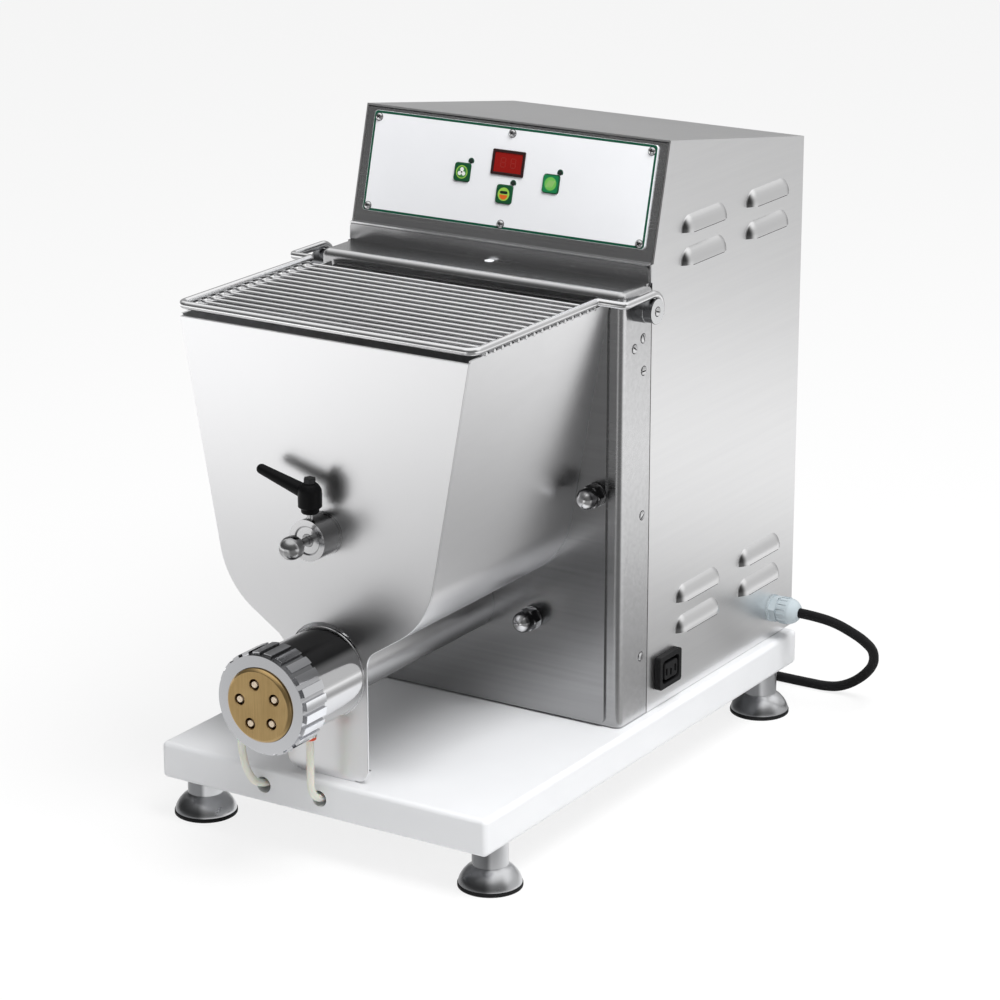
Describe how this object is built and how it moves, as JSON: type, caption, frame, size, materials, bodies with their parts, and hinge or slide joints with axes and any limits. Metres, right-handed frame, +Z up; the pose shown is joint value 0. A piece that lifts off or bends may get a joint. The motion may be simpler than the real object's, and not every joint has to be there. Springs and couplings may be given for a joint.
{
  "type": "electric pasta maker",
  "caption": "Bench-top electric pasta maker: tapered steel hopper with hinged grid lid, auger barrel with ring nut and brass die, push-button panel, drive housing and white base on feet.",
  "frame": {"origin": "on the floor, under the middle of the machine's box measured without the mains cord, its coil, plug and gland", "axes": "+X to the right seen from the front, +Y from the die to the back of the housing, +Z up"},
  "size_m": [0.3795, 0.7267, 0.526],
  "materials": {
    "white_base": "smooth white",
    "satin_aluminium": "satin",
    "foot_rubber": "matte",
    "zinc_steel": "turned",
    "housing_steel": "finely brushed stainless steel",
    "fastener_steel": "bright",
    "frame_steel": "brushed stainless steel",
    "white_faceplate": "satin white with a dark green border",
    "display_black": "satin",
    "display_red": "clear red",
    "button_green": "satin dark green",
    "lens_dark": "dark lens",
    "board_green": "printed circuit board",
    "hopper_steel": "satin blasted stainless steel",
    "polished_steel": "polished",
    "gear_steel": "machined",
    "nut_metal": "polished with a satin front ring",
    "die_brass": "turned",
    "insert_white": "smooth white",
    "lever_black": "fine textured",
    "stud_black": "blackened",
    "wire_steel": "bright drawn wire",
    "boss_aluminium": "turned",
    "fitting_nickel": "nickel plated",
    "collar_red": "orange red",
    "hose_white": "milky",
    "gearbox_cast": "cast",
    "wheel_bronze": "machined",
    "motor_grey": "cast, ribbed",
    "rotor_steel": "laminated",
    "fan_black": "moulded",
    "capacitor_white": "moulded",
    "outlet_black": "moulded",
    "gland_grey": "pale blue grey",
    "cord_black": "matte",
    "plug_black": "moulded"
  },
  "bodies": {
    "machine": {"base_plate": "white_base", "foot_bells": "satin_aluminium", "foot_pads": "foot_rubber", "foot_bolts": "zinc_steel", "casing_cover": "housing_steel", "back_panel": "housing_steel", "case_screws": "fastener_steel", "front_frame": "frame_steel", "fascia_panel": "frame_steel", "faceplate": "white_faceplate", "faceplate_screws": "fastener_steel", "display_bezel": "display_black", "display_window": "display_red", "indicator_lenses": "lens_dark", "control_board": "board_green", "hopper_walls": "hopper_steel", "hopper_front": "hopper_steel", "hopper_plate": "frame_steel", "fixing_studs": "zinc_steel", "dome_nuts": "polished_steel", "auger_barrel": "hopper_steel", "cooling_jacket": "polished_steel", "front_boss": "polished_steel", "lid_bosses": "boss_aluminium", "water_fittings": "fitting_nickel", "release_collars": "collar_red", "cooling_tubes": "hose_white", "rear_inlets": "fitting_nickel", "bearing_plate": "gear_steel", "shaft_bearings": "polished_steel", "gearbox": "gearbox_cast", "motor_body": "motor_grey", "run_capacitor": "capacitor_white", "power_outlet": "outlet_black", "cable_gland": "gland_grey", "mains_cord": "cord_black", "cord_coil": "cord_black", "mains_plug": "plug_black"},
    "lid": {"lid_grid": "wire_steel"},
    "left_button": {"button_left": "button_green"},
    "middle_button": {"button_middle": "button_green"},
    "right_button": {"button_right": "button_green"},
    "motor": {"motor_rotor": "rotor_steel", "motor_fan": "fan_black", "worm": "gear_steel"},
    "auger_drive": {"auger": "hopper_steel", "auger_shaft": "zinc_steel", "auger_gear": "gear_steel", "worm_wheel": "wheel_bronze"},
    "mixer": {"mixer_shaft": "hopper_steel", "mixer_paddles": "hopper_steel", "mixer_gear": "gear_steel"},
    "die_set": {"die": "die_brass", "die_inserts": "insert_white"},
    "nut": {"ring_nut": "nut_metal"},
    "lever": {"clamp_lever": "lever_black", "lever_stud": "stud_black"},
    "pin": {"pivot_pin": "polished_steel"}
  },
  "joints": [
    {"name": "lid_hinge", "type": "hinge", "parent": "machine", "child": "lid", "pos_m": [0, 0.0155, 0.4043], "axis": [-1, 0, 0], "range_deg": [0, 100]},
    {"name": "button_left_press", "type": "slide", "parent": "machine", "child": "left_button", "axis": [0, 0.9673, -0.2538], "range_m": [0, 0.001], "stiffness_N_per_m": 600},
    {"name": "button_middle_press", "type": "slide", "parent": "machine", "child": "middle_button", "axis": [0, 0.9673, -0.2538], "range_m": [0, 0.001], "stiffness_N_per_m": 600},
    {"name": "button_right_press", "type": "slide", "parent": "machine", "child": "right_button", "axis": [0, 0.9673, -0.2538], "range_m": [0, 0.001], "stiffness_N_per_m": 600},
    {"name": "motor_spin", "type": "hinge", "parent": "machine", "child": "motor", "pos_m": [0.05, 0.0925, 0.1516], "axis": [0, 0, 1], "continuous": true},
    {"name": "auger_spin", "type": "hinge", "parent": "machine", "child": "auger_drive", "pos_m": [0, -0.217, 0.1516], "axis": [0, 1, 0], "continuous": true},
    {"name": "mixer_spin", "type": "hinge", "parent": "machine", "child": "mixer", "pos_m": [0, -0.217, 0.2611], "axis": [0, 1, 0], "continuous": true},
    {"name": "die_slide", "type": "slide", "parent": "machine", "child": "die_set", "axis": [0, -1, 0], "range_m": [0, 0.0211]},
    {"name": "ring_nut_turn", "type": "hinge", "parent": "die_set", "child": "nut", "pos_m": [0, -0.277, 0.1516], "axis": [0, -1, 0], "range_deg": [0, 2520]},
    {"name": "clamp_lever_turn", "type": "hinge", "parent": "machine", "child": "lever", "pos_m": [0, -0.222, 0.2611], "axis": [0, 0, 1], "range_deg": [0, 150]},
    {"name": "pin_pull", "type": "slide", "parent": "machine", "child": "pin", "axis": [0, -1, 0], "range_m": [0, 0.04]}
  ],
  "couplings": [
    {"joint": "auger_spin", "follows": "motor_spin", "ratio": 0.05},
    {"joint": "mixer_spin", "follows": "motor_spin", "ratio": -0.02449},
    {"joint": "die_slide", "follows": "ring_nut_turn", "m_per_rad": 0.00047746}
  ]
}
